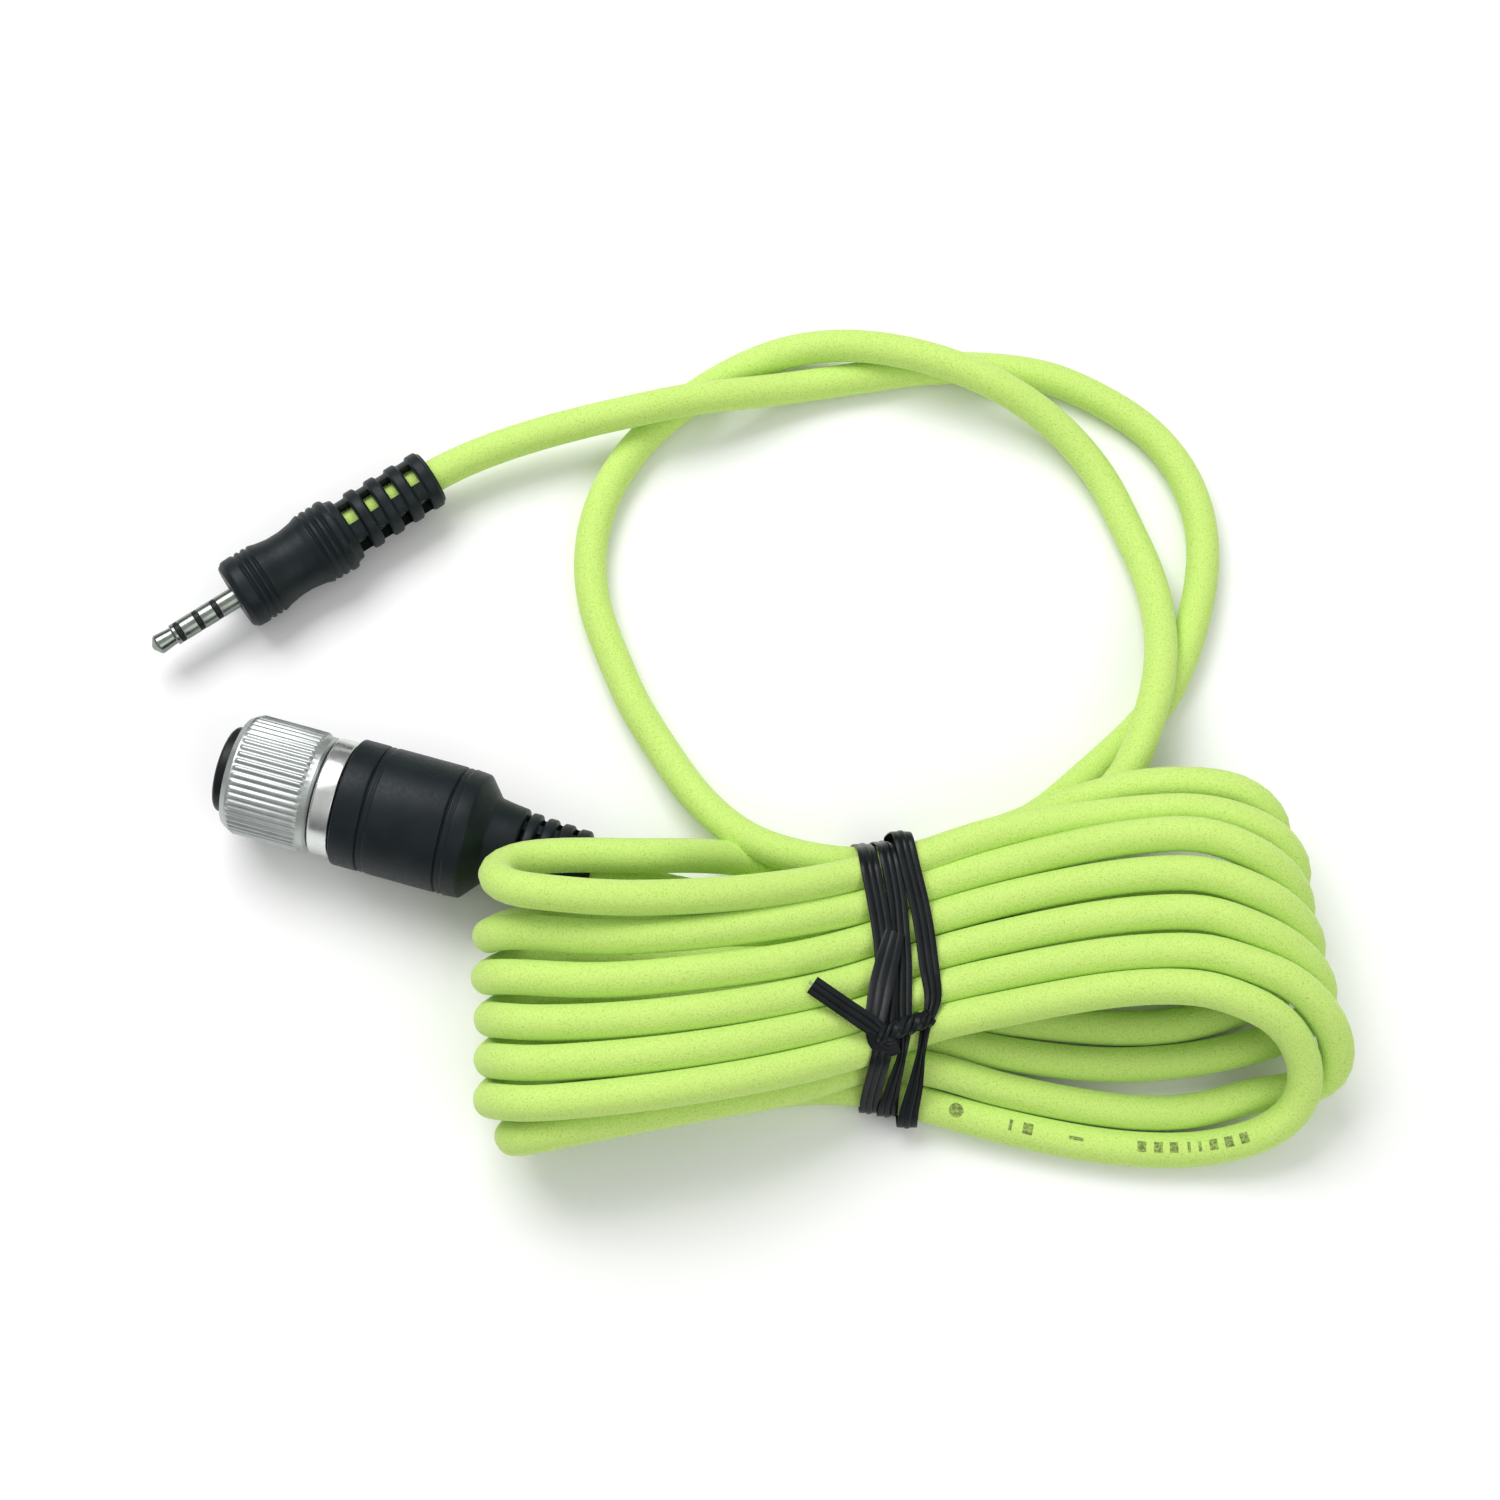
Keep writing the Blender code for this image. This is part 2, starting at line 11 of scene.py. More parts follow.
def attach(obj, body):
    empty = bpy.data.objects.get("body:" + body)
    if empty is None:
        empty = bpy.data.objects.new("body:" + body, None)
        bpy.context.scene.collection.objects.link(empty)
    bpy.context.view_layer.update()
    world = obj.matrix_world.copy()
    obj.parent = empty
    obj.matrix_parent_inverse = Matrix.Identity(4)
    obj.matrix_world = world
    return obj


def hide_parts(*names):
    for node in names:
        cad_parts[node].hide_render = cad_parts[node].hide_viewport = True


MM = 0.001
GAP = 0.3

# The cord.
CORD_RADIUS = 2.65
CORD_STEP = 2.0                    # between its rings of vertices
CORD_SIDES = 28
ROUTE_STEP = 2.0                   # between the points that smoothing evens out
SMOOTHING_PASSES = 3
NEAR_POINTS = 1.5                  # a route point this near the last one is left out

# The hank's runs: where they are measured along X, and each turn's Y there.
STATIONS = [11.0, 25.8, 40.7, 51.0, 60.5, 71.0, 86.0, 94.0, 101.0]
FRONT_Z = [21.3, 20.0, 15.6, 11.8, 11.4, 13.6, 18.6, 20.6, 21.5]
FRONT_Y = {
    2: [-29.9, -28.7, -25.6, -22.6, -19.4, -16.8, -14.5, -13.9, -14.1],
    3: [-36.4, -34.9, -31.7, -28.1, -24.7, -22.2, -20.3, -19.9, -20.2],
    4: [-42.5, -40.8, -37.3, -33.7, -30.3, -28.0, -26.2, -25.9, -26.2],
    5: [-48.2, -46.3, -42.6, -39.2, -35.7, -33.6, -32.0, -31.8, -32.1],
    6: [-53.9, -51.7, -48.0, -44.4, -40.9, -39.0, -37.3, -37.1, -37.8],
}
BACK_Z = [2.65, 2.65, 2.8, 3.5, 3.4, 2.8, 2.65, 2.65, 2.8]
BACK_Y = {
    2: [-21.4, -24.0, -24.2, -22.8, -20.8, -19.6, -18.8, -18.6, -18.2],
    3: [-27.6, -29.3, -28.9, -26.9, -25.4, -25.4, -25.4, -25.2, -24.9],
    4: [-33.6, -34.6, -33.9, -31.5, -30.9, -31.6, -32.2, -32.2, -31.8],
    5: [-39.3, -39.9, -38.9, -36.2, -36.2, -37.9, -39.5, -39.7, -38.8],
    6: [-44.8, -45.0, -43.7, -40.9, -41.3, -43.4, -45.2, -45.1, -44.4],
    7: [-50.2, -50.6, -48.8, -49.2, -51.7, -54.6, -57.6, -58.3, -58.2],
}
RAISED_BACKS = (3, 5)              # these ride on their neighbours where the tie squeezes them
RAISED_BY = 1.9
# The left ends: the tip's X and Y, and the front run's Y as it turns down.
LEFT_ENDS = {2: (-6.5, -27.5, -28.6), 3: (-6.5, -33.9, -35.5), 4: (-5.9, -40.2, -42.3),
             5: (-5.7, -46.4, -48.4), 6: (-5.6, -52.4, -54.4)}
# The right ends, from the front run over the tip to the back run.
RIGHT_ENDS = {
    0: [(107.8, -5.0, 14.4), (112.3, -7.4, 12.2), (114.5, -10.6, 8.6), (112.8, -13.8, 5.2),
        (107.5, -16.8, 3.1)],
    1: [(107.5, -10.8, 17.6), (113.3, -13.0, 15.0), (116.8, -17.2, 10.4),
        (115.0, -20.8, 6.0), (109.0, -23.8, 3.2)],
    2: [(106.8, -16.0, 21.0), (112.6, -18.6, 18.0), (116.6, -22.9, 12.0),
        (115.4, -27.0, 6.4), (109.6, -30.4, 3.2)],
    3: [(106.4, -22.0, 21.3), (113.1, -24.6, 18.2), (117.9, -29.2, 12.0),
        (116.0, -33.2, 6.6), (109.8, -36.0, 3.8)],
    4: [(106.1, -27.9, 21.3), (113.4, -30.7, 18.6), (119.2, -35.8, 12.0),
        (117.8, -39.6, 7.4), (112.3, -42.0, 4.6)],
    5: [(105.8, -33.6, 21.3), (112.8, -36.0, 20.0), (117.9, -39.9, 17.0),
        (120.9, -44.2, 12.3), (120.5, -48.2, 7.2), (116.0, -49.2, 4.0)],
    6: [(105.5, -39.3, 21.0), (110.5, -41.2, 19.0), (114.3, -44.5, 15.5),
        (116.2, -48.7, 11.5), (115.5, -52.3, 8.5), (113.3, -54.7, 6.5), (110.1, -56.4, 5.2),
        (105.5, -57.6, 4.0)],
}
# The front run that comes from the big loop, the one that goes to the top loop, and the lowest
# turn's left end and the dive under the hank that follows it.
FIRST_RUN = [
    (40.9, -14.1, 8.8), (49.4, -15.1, 8.2), (60.5, -13.6, 7.4), (65.5, -12.2, 8.0),
    (71.6, -10.4, 9.2), (78.5, -8.1, 11.0), (83.9, -6.3, 12.4), (91.3, -4.5, 13.9),
    (95.8, -4.1, 14.5), (101.5, -4.2, 14.9),
]
LAST_RUN = [
    (101.4, -9.4, 18.0), (94.1, -9.4, 17.6), (86.7, -9.9, 16.6), (77.5, -10.7, 15.0),
    (70.9, -11.7, 13.8), (65.5, -13.1, 12.9), (60.5, -14.8, 12.3), (51.3, -17.3, 12.2),
    (40.7, -20.8, 16.8), (25.8, -24.0, 22.9),
]
LOWEST_TURN = [
    (5.0, -51.6, 3.0), (-0.8, -55.0, 5.6), (-2.6, -57.7, 10.0), (-0.6, -58.5, 14.3),
    (5.4, -57.7, 16.3), (12.7, -56.2, 16.2), (25.8, -53.3, 14.0), (40.7, -49.8, 10.0),
    (51.0, -46.0, 6.5), (60.4, -46.5, 6.0), (71.1, -49.2, 3.6), (86.3, -52.0, 2.65),
    (94.0, -52.7, 2.65), (101.4, -52.2, 2.65), (109.1, -50.1, 3.0),
]
# Outside the hank, and how these stretches enter and leave it.
SCREW_LEAD = [
    (-17.3, -8.8, 10.0), (-9.3, -11.0, 10.0), (0.7, -13.9, 10.0), (9.4, -16.4, 9.9),
    (13.7, -17.7, 9.7),
]
LOOP_IN = [
    (20.5, -19.2, 7.8), (27.5, -19.8, 5.6), (34.5, -19.4, 5.0), (42.0, -19.1, 5.2),
    (51.0, -19.0, 6.6), (60.5, -17.8, 6.8), (71.0, -14.0, 4.6), (82.0, -8.4, 6.0),
]
BIG_LOOP = [
    (91.3, -1.4, 8.2), (94.3, 5.0, 8.3), (96.9, 12.2, 8.2), (98.3, 19.4, 7.2),
    (98.5, 27.2, 5.0), (97.6, 34.4, 3.2), (94.6, 42.8, 2.7), (90.0, 52.8, 3.2),
    (82.9, 60.6, 5.2), (74.7, 65.8, 7.6), (66.1, 69.6, 8.4), (57.8, 72.2, 8.2),
    (49.7, 74.0, 6.6), (41.5, 74.5, 4.3), (33.2, 72.2, 3.0), (23.5, 66.2, 2.7),
    (15.1, 58.4, 2.7), (9.4, 48.8, 2.7), (7.3, 39.3, 2.7), (8.1, 29.8, 2.7),
    (11.9, 19.4, 2.7), (14.4, 13.4, 2.8), (18.4, 6.6, 3.2), (25.2, -3.7, 5.0),
    (33.0, -11.0, 7.6),
]
TOP_LOOP = [
    (14.3, -25.0, 25.5), (10.7, -25.1, 26.4), (6.5, -24.9, 27.0), (2.3, -24.5, 27.2),
    (-1.3, -23.9, 26.4), (-4.0, -22.3, 24.3), (-4.95, -20.15, 21.4), (-4.0, -18.0, 18.5),
    (-1.3, -16.4, 16.4), (2.3, -15.8, 15.6), (6.5, -15.6, 15.4), (10.7, -15.6, 15.3),
]
LEAD_IN = [
    (18.5, -15.6, 15.0), (26.0, -14.2, 10.0), (33.3, -13.4, 5.0), (41.5, -14.0, 3.4),
    (51.5, -14.0, 3.3), (60.5, -12.7, 3.2), (71.0, -9.6, 2.7),
]
PLUG_LEAD = [
    (-31.5, 41.8, 6.2), (-24.0, 46.9, 6.2), (-18.2, 50.8, 6.2), (-12.3, 54.0, 6.2),
    (-4.3, 57.1, 6.4), (5.5, 59.8, 7.1), (15.3, 61.7, 8.2), (23.4, 63.5, 8.2),
    (29.9, 65.0, 6.8), (36.5, 66.8, 4.6), (43.9, 68.7, 2.9), (51.4, 70.0, 2.7),
    (63.0, 71.7, 2.7), (74.7, 71.5, 2.7), (82.9, 70.0, 2.7), (91.0, 66.0, 2.7),
    (97.4, 61.5, 2.7), (102.1, 56.1, 2.7), (105.4, 49.0, 2.7), (106.7, 41.1, 2.7),
    (105.8, 32.4, 2.7), (103.4, 23.8, 2.7), (99.8, 15.3, 2.7), (95.1, 9.0, 2.7),
    (88.5, 2.8, 2.7), (83.6, -1.6, 2.7), (79.0, -5.4, 2.7),
]

# The 3.5 mm plug: local +X runs from its tip to the cord.
PLUG_TIP = Vector((-61.6, 21.1, 6.2))
PLUG_YAW = math.radians(34.4)
JACK_RADIUS = 1.75
JACK_ROD, JACK_BORE = 0.45, 0.65
JACK_SEAMS = [4.9, 8.4, 11.7]
JACK_INSULATOR = 0.8
JACK_END = 19.0
PLUG_FRONT, PLUG_END = 15.3, 52.3
PLUG_COLLAR = 36.3                 # where its body ends and the relief starts
PLUG_RIBS = [39.4, 43.2, 47.0, 50.9]
PLUG_WINDOW_TURN = math.radians(-6)

# The screw connector: local +X runs from its mating face to the cord.
SCREW_FACE = Vector((-49.0, 0.2, 10.0))
SCREW_YAW = math.radians(-15.8)
CONTACTS, CONTACT_CIRCLE = 4, 3.4
INSERT_FRONT = 1.2
RING_FRONT, RING_BACK = 3.3, 17.1
RING_RADIUS = 9.5
KNURLS, KNURL_DEPTH = 52, 0.35
SCREW_RIBS = [50.2, 52.8, 55.4, 58.1]
SCREW_WINDOWS = 6                  # round each gap between its ribs
SCREW_END = 60.6

# The tie: a ribbon with a wire down its middle. RIBBON is its section, across and outward, in
# widths and millimetres. A turn is (Y, X, share of the width it keeps) over the hank's top,
# from the near side to the far one.
RIBBON_WIDTH = 3.0
RIBBON = [(-0.5, -0.04), (-0.5, 0.1), (-0.48, 0.16), (-0.21, 0.2), (-0.18, 0.11), (-0.15, 0.2),
          (-0.08, 0.33), (0.0, 0.37), (0.08, 0.33), (0.15, 0.2), (0.18, 0.11), (0.21, 0.2),
          (0.48, 0.16), (0.5, 0.1), (0.5, -0.04)]
TIE_TURNS = [
    [(-51.5, 51.2, 1), (-46.9, 52.5, 1), (-43.9, 53.1, 1), (-37.8, 53.5, 1), (-30.2, 53.3, 1),
     (-26.0, 52.8, 1), (-21.6, 52.1, 1), (-17.9, 51.4, 1), (-13.0, 50.8, 1), (-9.9, 50.0, 1)],
    [(-52.5, 53.9, 1), (-49.4, 54.7, 0.7), (-46.0, 55.8, 0.45), (-43.1, 55.9, 0.8),
     (-39.6, 55.8, 1), (-32.2, 56.0, 1), (-25.7, 55.6, 1), (-22.4, 55.4, 1), (-17.9, 54.7, 1),
     (-12.5, 53.7, 1), (-9.6, 52.9, 1)],
    [(-53.5, 56.9, 1), (-50.0, 57.9, 0.8), (-45.6, 58.6, 0.45), (-41.6, 59.3, 0.5),
     (-37.8, 60.7, 0.85), (-32.8, 60.0, 1), (-27.1, 59.4, 1), (-23.0, 58.7, 1),
     (-17.2, 57.4, 1), (-12.0, 56.3, 1), (-9.2, 55.5, 1)],
]
TURN_LIFT = 0.12                   # how far each turn lies over the one beside it
# Loose stretches, as (X, Y, Z, the ribbon's outward direction, share of the width).
TIE_FOLD_HEIGHT = 0.4              # its ridges against those of the turns
TIE_FOLD = [(54.9, -27.6, 15.7, 0, -0.35, 1, 0.95), (54.7, -28.6, 15.8, 0, -0.35, 1, 1.0),
            (54.0, -31.0, 16.0, 0, -0.35, 1, 1.15), (52.8, -35.7, 16.1, -0.1, -0.35, 1, 1.2),
            (52.2, -38.8, 16.2, -0.2, -0.35, 1, 1.15), (51.7, -41.8, 16.1, -0.3, -0.4, 1, 1.0),
            (51.9, -44.4, 15.7, -0.3, -0.5, 0.8, 0.85), (53.4, -45.5, 15.3, 0, -0.6, 0.8, 0.8),
            (55.2, -45.0, 15.5, 0.1, -0.4, 0.9, 0.7)]
TIE_TAIL = [(53.6, -43.9, 16.6, 0, -0.3, 1, 0.7), (51.4, -42.5, 17.5, 0, -0.3, 1, 0.95),
            (47.0, -39.6, 18.3, 0, -0.3, 1, 0.95), (42.4, -36.5, 19.0, 0, -0.3, 1, 0.95)]
KNOT_ENDS = Vector((52.1, -43.6, 16.4)), Vector((59.9, -40.9, 16.6))
KNOT_RADIUS, KNOT_TURNS = 0.85, 1.25

# Printing on the jacket, as plain marks: near which point of the cord each row starts, and each
# mark's (distance along, length, width).
MARK_ROWS = [
    ((64.2, -53.0, 3.0), [(0.0, 2.2, 2.2), (8.5, 0.5, 1.7), (11.2, 1.5, 1.7), (18.6, 2.2, 0.5),
                          (28.5, 1.3, 1.6), (31.0, 1.3, 1.6), (33.4, 1.3, 1.6), (35.8, 0.5, 1.6),
                          (37.6, 0.5, 1.6), (39.8, 1.3, 1.6), (42.2, 1.3, 1.6),
                          (44.6, 1.3, 1.6)]),
    ((7.0, -28.0, 3.6), [(0.0, 1.4, 0.6), (3.0, 1.2, 1.5), (5.4, 0.5, 1.5), (7.4, 1.2, 1.5)]),
    ((50.5, -46.4, 7.0), [(0.0, 1.2, 1.5), (2.4, 1.2, 1.5)]),
]

# The camera, round the object as it lies.
CAMERA_TARGET = Vector((33.2, 6.1, 0.0)) * MM
CAMERA_ELEVATION = math.radians(72)
CAMERA_DISTANCE = 0.430
CAMERA_LENS = 64.8


# Node materials

def new_material(name):
    material = bpy.data.materials.new(name)
    material.use_nodes = True
    return material, material.node_tree, material.node_tree.nodes["Principled BSDF"]


def add_node(tree, kind, **settings):
    """A node with its settings; a key that names an input sets that input."""
    node = tree.nodes.new(kind)
    for key, value in settings.items():
        if hasattr(node, key):
            setattr(node, key, value)
        else:
            node.inputs[key.replace("_", " ").title()].default_value = value
    return node


def noise(tree, scale, detail=2.0, roughness=0.5):
    """Noise over the object's own coordinates, as its factor output."""
    where = tree.nodes.get("where") or add_node(tree, "ShaderNodeTexCoord", name="where")
    node = add_node(tree, "ShaderNodeTexNoise")
    node.inputs["Scale"].default_value = scale
    node.inputs["Detail"].default_value = detail
    node.inputs["Roughness"].default_value = roughness
    tree.links.new(where.outputs["Object"], node.inputs["Vector"])
    return node.outputs["Fac"]


def ramp(tree, factor, stops):
    """A colour ramp from (position, colour) stops."""
    node = tree.nodes.new("ShaderNodeValToRGB")
    while len(node.color_ramp.elements) < len(stops):
        node.color_ramp.elements.new(0.5)
    for element, (position, color) in zip(node.color_ramp.elements, stops):
        element.position = position
        element.color = (*color, 1.0)
    tree.links.new(factor, node.inputs["Fac"])
    return node.outputs["Color"]


def span(tree, factor, low, high):
    """The factor stretched to run between two values."""
    node = tree.nodes.new("ShaderNodeMapRange")
    node.inputs["From Min"].default_value = 0.3
    node.inputs["From Max"].default_value = 0.7
    node.inputs["To Min"].default_value = low
    node.inputs["To Max"].default_value = high
    tree.links.new(factor, node.inputs["Value"])
    return node.outputs["Result"]


def bump(tree, shader, heights):
    """Chains bumps of (height, strength, distance in metres) into the shader's normal."""
    normal = None
    for height, strength, distance in heights:
        node = tree.nodes.new("ShaderNodeBump")
        node.inputs["Strength"].default_value = strength
        node.inputs["Distance"].default_value = distance
        tree.links.new(height, node.inputs["Height"])
        if normal:
            tree.links.new(normal, node.inputs["Normal"])
        normal = node.outputs["Normal"]
    tree.links.new(normal, shader.inputs["Normal"])


def cord_material():
    """A soft matte jacket with a fine sandy grain."""
    material, tree, shader = new_material("cord_green")
    grain = noise(tree, 3600, 2.0, 0.6)
    cloud = noise(tree, 90, 2.0)
    color = ramp(tree, grain, [(0.28, (0.40, 0.64, 0.075)), (0.46, (0.575, 0.80, 0.185)),
                               (0.72, (0.63, 0.85, 0.235))])
    shade = ramp(tree, cloud, [(0.3, (0.97, 0.98, 0.95)), (0.7, (1.0, 1.0, 1.0))])
    mixed = tree.nodes.new("ShaderNodeMix")
    mixed.data_type, mixed.blend_type = "RGBA", "MULTIPLY"
    mixed.inputs["Factor"].default_value = 1.0
    tree.links.new(color, mixed.inputs["A"])
    tree.links.new(shade, mixed.inputs["B"])
    tree.links.new(mixed.outputs["Result"], shader.inputs["Base Color"])
    tree.links.new(span(tree, grain, 0.62, 0.82), shader.inputs["Roughness"])
    shader.inputs["Sheen Weight"].default_value = 0.35
    shader.inputs["Sheen Roughness"].default_value = 0.5
    shader.inputs["Sheen Tint"].default_value = (0.85, 1.0, 0.6, 1.0)
    shader.inputs["Specular IOR Level"].default_value = 0.3
    bump(tree, shader, [(cloud, 0.15, 0.0003), (grain, 0.5, 0.00025)])
    return material


def plastic_material(name, dark, light, roughness, grain_scale=1800, grain_depth=0.00004):
    """A moulded plastic: two near shades, uneven gloss and a fine moulding grain."""
    material, tree, shader = new_material(name)
    cloud = noise(tree, 220, 4.0)
    grain = noise(tree, grain_scale, 2.0)
    tree.links.new(ramp(tree, cloud, [(0.3, dark), (0.7, light)]), shader.inputs["Base Color"])
    tree.links.new(span(tree, grain, roughness - 0.06, roughness + 0.06),
                   shader.inputs["Roughness"])
    shader.inputs["Specular IOR Level"].default_value = 0.2
    bump(tree, shader, [(cloud, 0.1, 0.0001), (grain, 0.35, grain_depth)])
    return material


def metal_material(name, color, worn, roughness):
    """A plated metal with faint clouding and fine turning marks."""
    material, tree, shader = new_material(name)
    cloud = noise(tree, 400, 5.0, 0.6)
    marks = noise(tree, 3200, 1.0)
    tree.links.new(ramp(tree, cloud, [(0.25, worn), (0.6, color)]), shader.inputs["Base Color"])
    tree.links.new(span(tree, cloud, roughness - 0.05, roughness + 0.07),
                   shader.inputs["Roughness"])
    shader.inputs["Metallic"].default_value = 1.0
    bump(tree, shader, [(marks, 0.12, 0.00002)])
    return material


def ink_material():
    """Worn dark printing that the jacket's grain shows through."""
    material, tree, shader = new_material("ink")
    wear = noise(tree, 2200, 3.0, 0.7)
    tree.links.new(ramp(tree, wear, [(0.40, (0.11, 0.15, 0.035)), (0.62, (0.36, 0.52, 0.10))]),
                   shader.inputs["Base Color"])
    tree.links.new(span(tree, wear, 0.6, 0.8), shader.inputs["Roughness"])
    bump(tree, shader, [(wear, 0.3, 0.0001)])
    return material


# Meshes

def mesh_piece(name, points, faces, material, slot, body="lead", sharp=40, replaces=()):
    """A piece from points in millimetres of the frame, riding on its body."""
    mesh = bpy.data.meshes.new(name)
    mesh.from_pydata([tuple(float(c) * MM for c in p) for p in points], [], faces)
    bm = bmesh.new()
    bm.from_mesh(mesh)
    bmesh.ops.recalc_face_normals(bm, faces=bm.faces)
    bm.to_mesh(mesh)
    bm.free()
    mesh.shade_smooth()
    mesh.set_sharp_from_angle(angle=math.radians(sharp))
    mesh.materials.append(material)
    piece = bpy.data.objects.new(name, mesh)
    bpy.context.scene.collection.objects.link(piece)
    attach(piece, body)
    if replaces:
        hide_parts(*replaces)
    return piece


def loft(rings, closed=False, capped=True):
    """(points, faces) through rings of the same number of points."""
    sides = len(rings[0])
    points = [p for ring in rings for p in ring]
    faces = []
    pairs = list(zip(range(len(rings) - 1), range(1, len(rings))))
    if closed:
        pairs.append((len(rings) - 1, 0))
    for one, two in pairs:
        for k in range(sides):
            n = (k + 1) % sides
            faces.append((one * sides + k, one * sides + n, two * sides + n, two * sides + k))
    if capped and not closed:
        faces += [tuple(range(sides)),
                  tuple((len(rings) - 1) * sides + k for k in reversed(range(sides)))]
    return points, faces


def rounded(outline, radius=0.2, steps=3):
    """A closed outline of (x, radius) points with its corners off the axis rounded."""
    made = []
    for i, point in enumerate(outline):
        before, after = outline[i - 1], outline[(i + 1) % len(outline)]
        here, a, b = (np.array(p, float) for p in (point, before, after))
        to_a, to_b = a - here, b - here
        la, lb = np.linalg.norm(to_a), np.linalg.norm(to_b)
        turn = math.degrees(math.acos(np.clip(-(to_a @ to_b) / (la * lb), -1, 1)))
        cut = min(radius, 0.45 * la, 0.45 * lb)
        if point[1] < 1e-6 or cut < 0.02 or turn < 8:
            made.append(tuple(here))
            continue
        start, end = here + to_a / la * cut, here + to_b / lb * cut
        for step in range(steps + 1):
            t = step / steps
            made.append(tuple((1 - t) ** 2 * start + 2 * t * (1 - t) * here + t * t * end))
    return made


def lathe(outline, place, segments=96):
    """(points, faces) of a closed (x, radius) outline turned about X and put in place."""
    rings = []
    for k in range(segments):
        angle = math.tau * k / segments
        rings.append([place @ Vector((x, r * math.sin(angle), r * math.cos(angle)))
                      for x, r in outline])
    points, faces = loft(rings, closed=True)
    return points, faces


def merge_axis(piece):
    """Joins the points that a lathe stacks on its axis and drops faces with no area."""
    bm = bmesh.new()
    bm.from_mesh(piece.data)
    bmesh.ops.remove_doubles(bm, verts=bm.verts, dist=1e-7)
    bmesh.ops.dissolve_degenerate(bm, edges=bm.edges, dist=1e-8)
    bmesh.ops.recalc_face_normals(bm, faces=bm.faces)
    bm.to_mesh(piece.data)
    bm.free()
    return piece


def turned(name, outline, place, material, slot, segments=96, **more):
    """A turned piece."""
    points, faces = lathe(outline, place, segments)
    return merge_axis(mesh_piece(name, points, faces, material, slot, **more))


def cut_boxes(piece, place, boxes):
    """Cuts boxes of two opposite corners out of a piece, and keeps the result in its mesh."""
    bm = bmesh.new()
    for low, high in boxes:
        low, high = Vector(low), Vector(high)
        shape = Matrix.Translation((low + high) / 2) @ Matrix.Diagonal((*(high - low), 1))
        bmesh.ops.create_cube(bm, size=1, matrix=place @ shape)
    bmesh.ops.scale(bm, vec=(MM,) * 3, verts=bm.verts)
    bmesh.ops.recalc_face_normals(bm, faces=bm.faces)
    cut_mesh(piece, bm)


def cut_mesh(piece, bm):
    mesh = bpy.data.meshes.new("cutter")
    bm.to_mesh(mesh)
    bm.free()
    cutter = bpy.data.objects.new("cutter", mesh)
    bpy.context.scene.collection.objects.link(cutter)
    modifier = piece.modifiers.new("Cut", "BOOLEAN")
    modifier.operation = "DIFFERENCE"
    modifier.object = cutter
    graph = bpy.context.evaluated_depsgraph_get()
    made = bpy.data.meshes.new_from_object(piece.evaluated_get(graph))
    piece.modifiers.clear()
    piece.data = made
    piece.data.shade_smooth()
    piece.data.set_sharp_from_angle(angle=math.radians(40))
    bpy.data.objects.remove(cutter, do_unlink=True)


def ribs(middles, crest, valley, width, edge=0.25):
    """The outline of ring-shaped ribs whose crests fall evenly from first to last."""
    outline = []
    for i, middle in enumerate(middles):
        radius = crest[0] + (crest[1] - crest[0]) * i / (len(middles) - 1)
        outline += [(middle - width / 2, valley), (middle - width / 2 + edge, radius),
                    (middle + width / 2 - edge, radius), (middle + width / 2, valley)]
    return outline


def grooves(starts, radius, width=0.7, depth=0.4):
    """The outline of fine V-shaped grooves in a round face."""
    outline = []
    for start in starts:
        outline += [(start, radius), (start + width / 2, radius - depth),
                    (start + width, radius)]
    return outline


# The cord

def evened(points, step):
    """Points a step apart on a smooth curve through the route's points."""
    kept = [np.array(points[0], float)]
    for point in points[1:]:
        point = np.array(point, float)
        if np.linalg.norm(point[:3] - kept[-1][:3]) > NEAR_POINTS:
            kept.append(point)
    kept = np.array(kept)
    gaps = np.linalg.norm(np.diff(kept[:, :3], axis=0), axis=1) ** 0.6
    slopes = np.diff(kept, axis=0) / gaps[:, None]
    tangents = np.zeros_like(kept)
    tangents[1:-1] = ((slopes[:-1] * gaps[1:, None] + slopes[1:] * gaps[:-1, None])
                      / (gaps[1:] + gaps[:-1])[:, None])
    tangents[0], tangents[-1] = slopes[0], slopes[-1]
    u = np.linspace(0, 1, 24, endpoint=False)[:, None]
    curve = [(2 * u ** 3 - 3 * u ** 2 + 1) * kept[i]
             + (u ** 3 - 2 * u ** 2 + u) * gap * tangents[i]
             + (3 * u ** 2 - 2 * u ** 3) * kept[i + 1] + (u ** 3 - u ** 2) * gap * tangents[i + 1]
             for i, gap in enumerate(gaps)]
    return resampled(np.vstack([*curve, kept[-1:]]), step)


def resampled(line, step):
    """The line's points, evenly spaced about a step apart; columns after XYZ come along."""
    run = np.concatenate([[0], np.cumsum(np.linalg.norm(np.diff(line[:, :3], axis=0), axis=1))])
    at = np.linspace(0, run[-1], round(run[-1] / step) + 1)
    return np.stack([np.interp(at, run, column) for column in line.T], axis=1)


def front_run(turn):
    return list(zip(STATIONS, FRONT_Y[turn], FRONT_Z))


def back_run(turn):
    """The run under the hank, lifted over its neighbours in the tie if it is a raised one."""
    lift = RAISED_BY if turn in RAISED_BACKS else 0.0
    return [(x, y, z + (lift if 45 < x < 55 else 0.0))
            for x, y, z in zip(STATIONS, BACK_Y[turn], BACK_Z)]


def left_end(turn):
    """From the front run's left end round the tip to the back run's."""
    x, y, near = LEFT_ENDS[turn]
    far = BACK_Y[turn][0]
    return [(-0.6, near, 19.6), (x + 1.5, (near + y) / 2, 16.6), (x, y, 11.8),
            (x + 1.5, y + 0.4 * (far - y), 7.0), (-0.4, y + 0.8 * (far - y), 3.8)]


